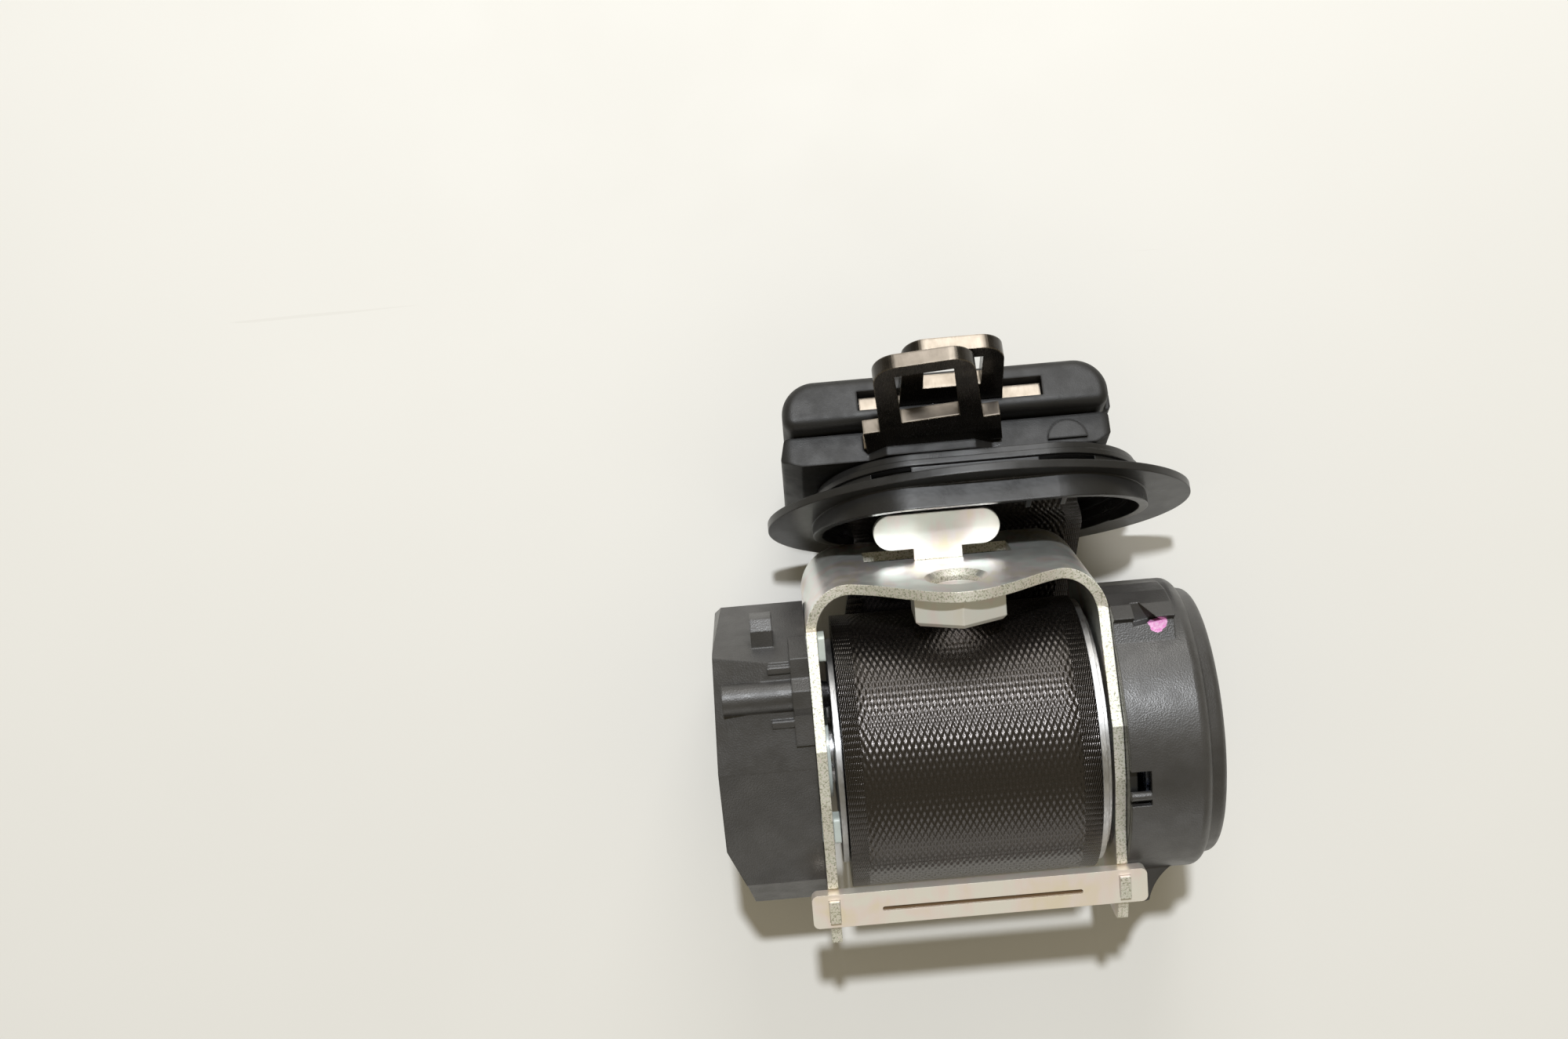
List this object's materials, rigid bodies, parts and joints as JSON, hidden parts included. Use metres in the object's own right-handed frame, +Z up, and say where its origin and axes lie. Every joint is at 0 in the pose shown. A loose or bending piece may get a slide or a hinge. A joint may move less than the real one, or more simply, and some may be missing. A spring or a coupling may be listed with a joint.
{
  "type": "seat belt retractor with bezel and two tongues",
  "caption": "Inertia reel seat belt: locking retractor in a steel frame with wound webbing, an oval trim bezel and plated latch tongues.",
  "frame": {"origin": "middle of the base of the lying part, on the surface it lies on", "axes": "+X along the spool axis towards the spring cover, +Y from the retractor towards the bezel and tongues, +Z up"},
  "size_m": [0.0974, 0.1129, 0.0629],
  "materials": {
    "zinc_plated_steel": "zinc plated, yellow passivated",
    "nickel_plated_steel": "polished, nickel plated",
    "bare_steel": "ground",
    "dark_steel": "blackened",
    "spring_steel": "blued strip",
    "cast_alloy": "die cast",
    "black_plastic": "satin, fine grain",
    "smooth_black_plastic": "smooth",
    "pale_plastic": "natural acetal",
    "webbing": "woven polyester"
  },
  "bodies": {
    "retractor": {"frame": "zinc_plated_steel", "tie_bar": "zinc_plated_steel", "weld_nut": "zinc_plated_steel", "left_bush": "pale_plastic", "right_bush": "pale_plastic", "lock_carrier": "pale_plastic", "pawl_pin": "dark_steel", "lock_cover": "black_plastic", "sensor_cup": "black_plastic", "spring_cover": "black_plastic", "spring_plate": "smooth_black_plastic", "clock_spring": "spring_steel", "webbing_span": "webbing"},
    "spool": {"spool_core": "cast_alloy", "webbing_roll": "webbing", "torsion_bar": "bare_steel", "ratchet_wheel": "bare_steel", "lock_disc": "pale_plastic", "spring_arbor": "pale_plastic"},
    "pawl": {"lock_pawl": "bare_steel"},
    "lever": {"sensor_lever": "pale_plastic"},
    "ball": {"sensor_ball": "bare_steel"},
    "trim": {"bezel": "smooth_black_plastic", "bezel_liner": "smooth_black_plastic"},
    "front_latch": {"front_tongue": "nickel_plated_steel", "front_grip": "black_plastic"},
    "rear_latch": {"rear_tongue": "nickel_plated_steel", "rear_grip": "black_plastic", "webbing_end": "webbing"}
  },
  "joints": [
    {"name": "spool_spin", "type": "hinge", "parent": "retractor", "child": "spool", "pos_m": [-0.0017, -0.0205, 0.0282], "axis": [1, 0, 0], "continuous": true},
    {"name": "pawl_swing", "type": "hinge", "parent": "retractor", "child": "pawl", "pos_m": [-0.0347, -0.00804, 0.04414], "axis": [1, 0, 0], "range_deg": [0, 9]},
    {"name": "ball_roll", "type": "slide", "parent": "retractor", "child": "ball", "axis": [1, 0, 0], "range_m": [0, 0.0008]},
    {"name": "lever_lift", "type": "hinge", "parent": "retractor", "child": "lever", "pos_m": [-0.0411, -0.00839, 0.01452], "axis": [-1, 0, 0], "range_deg": [0, 6]},
    {"name": "trim_slide", "type": "slide", "parent": "retractor", "child": "trim", "axis": [0, 1, 0], "range_m": [0, 0.03]},
    {"name": "front_latch_slide", "type": "slide", "parent": "trim", "child": "front_latch", "axis": [0, 1, 0], "range_m": [0, 0.015]},
    {"name": "rear_latch_slide", "type": "slide", "parent": "front_latch", "child": "rear_latch", "axis": [0, 1, 0], "range_m": [0, 0.015]}
  ],
  "couplings": [
    {"joint": "lever_lift", "follows": "ball_roll", "rad_per_m": 130.9}
  ]
}
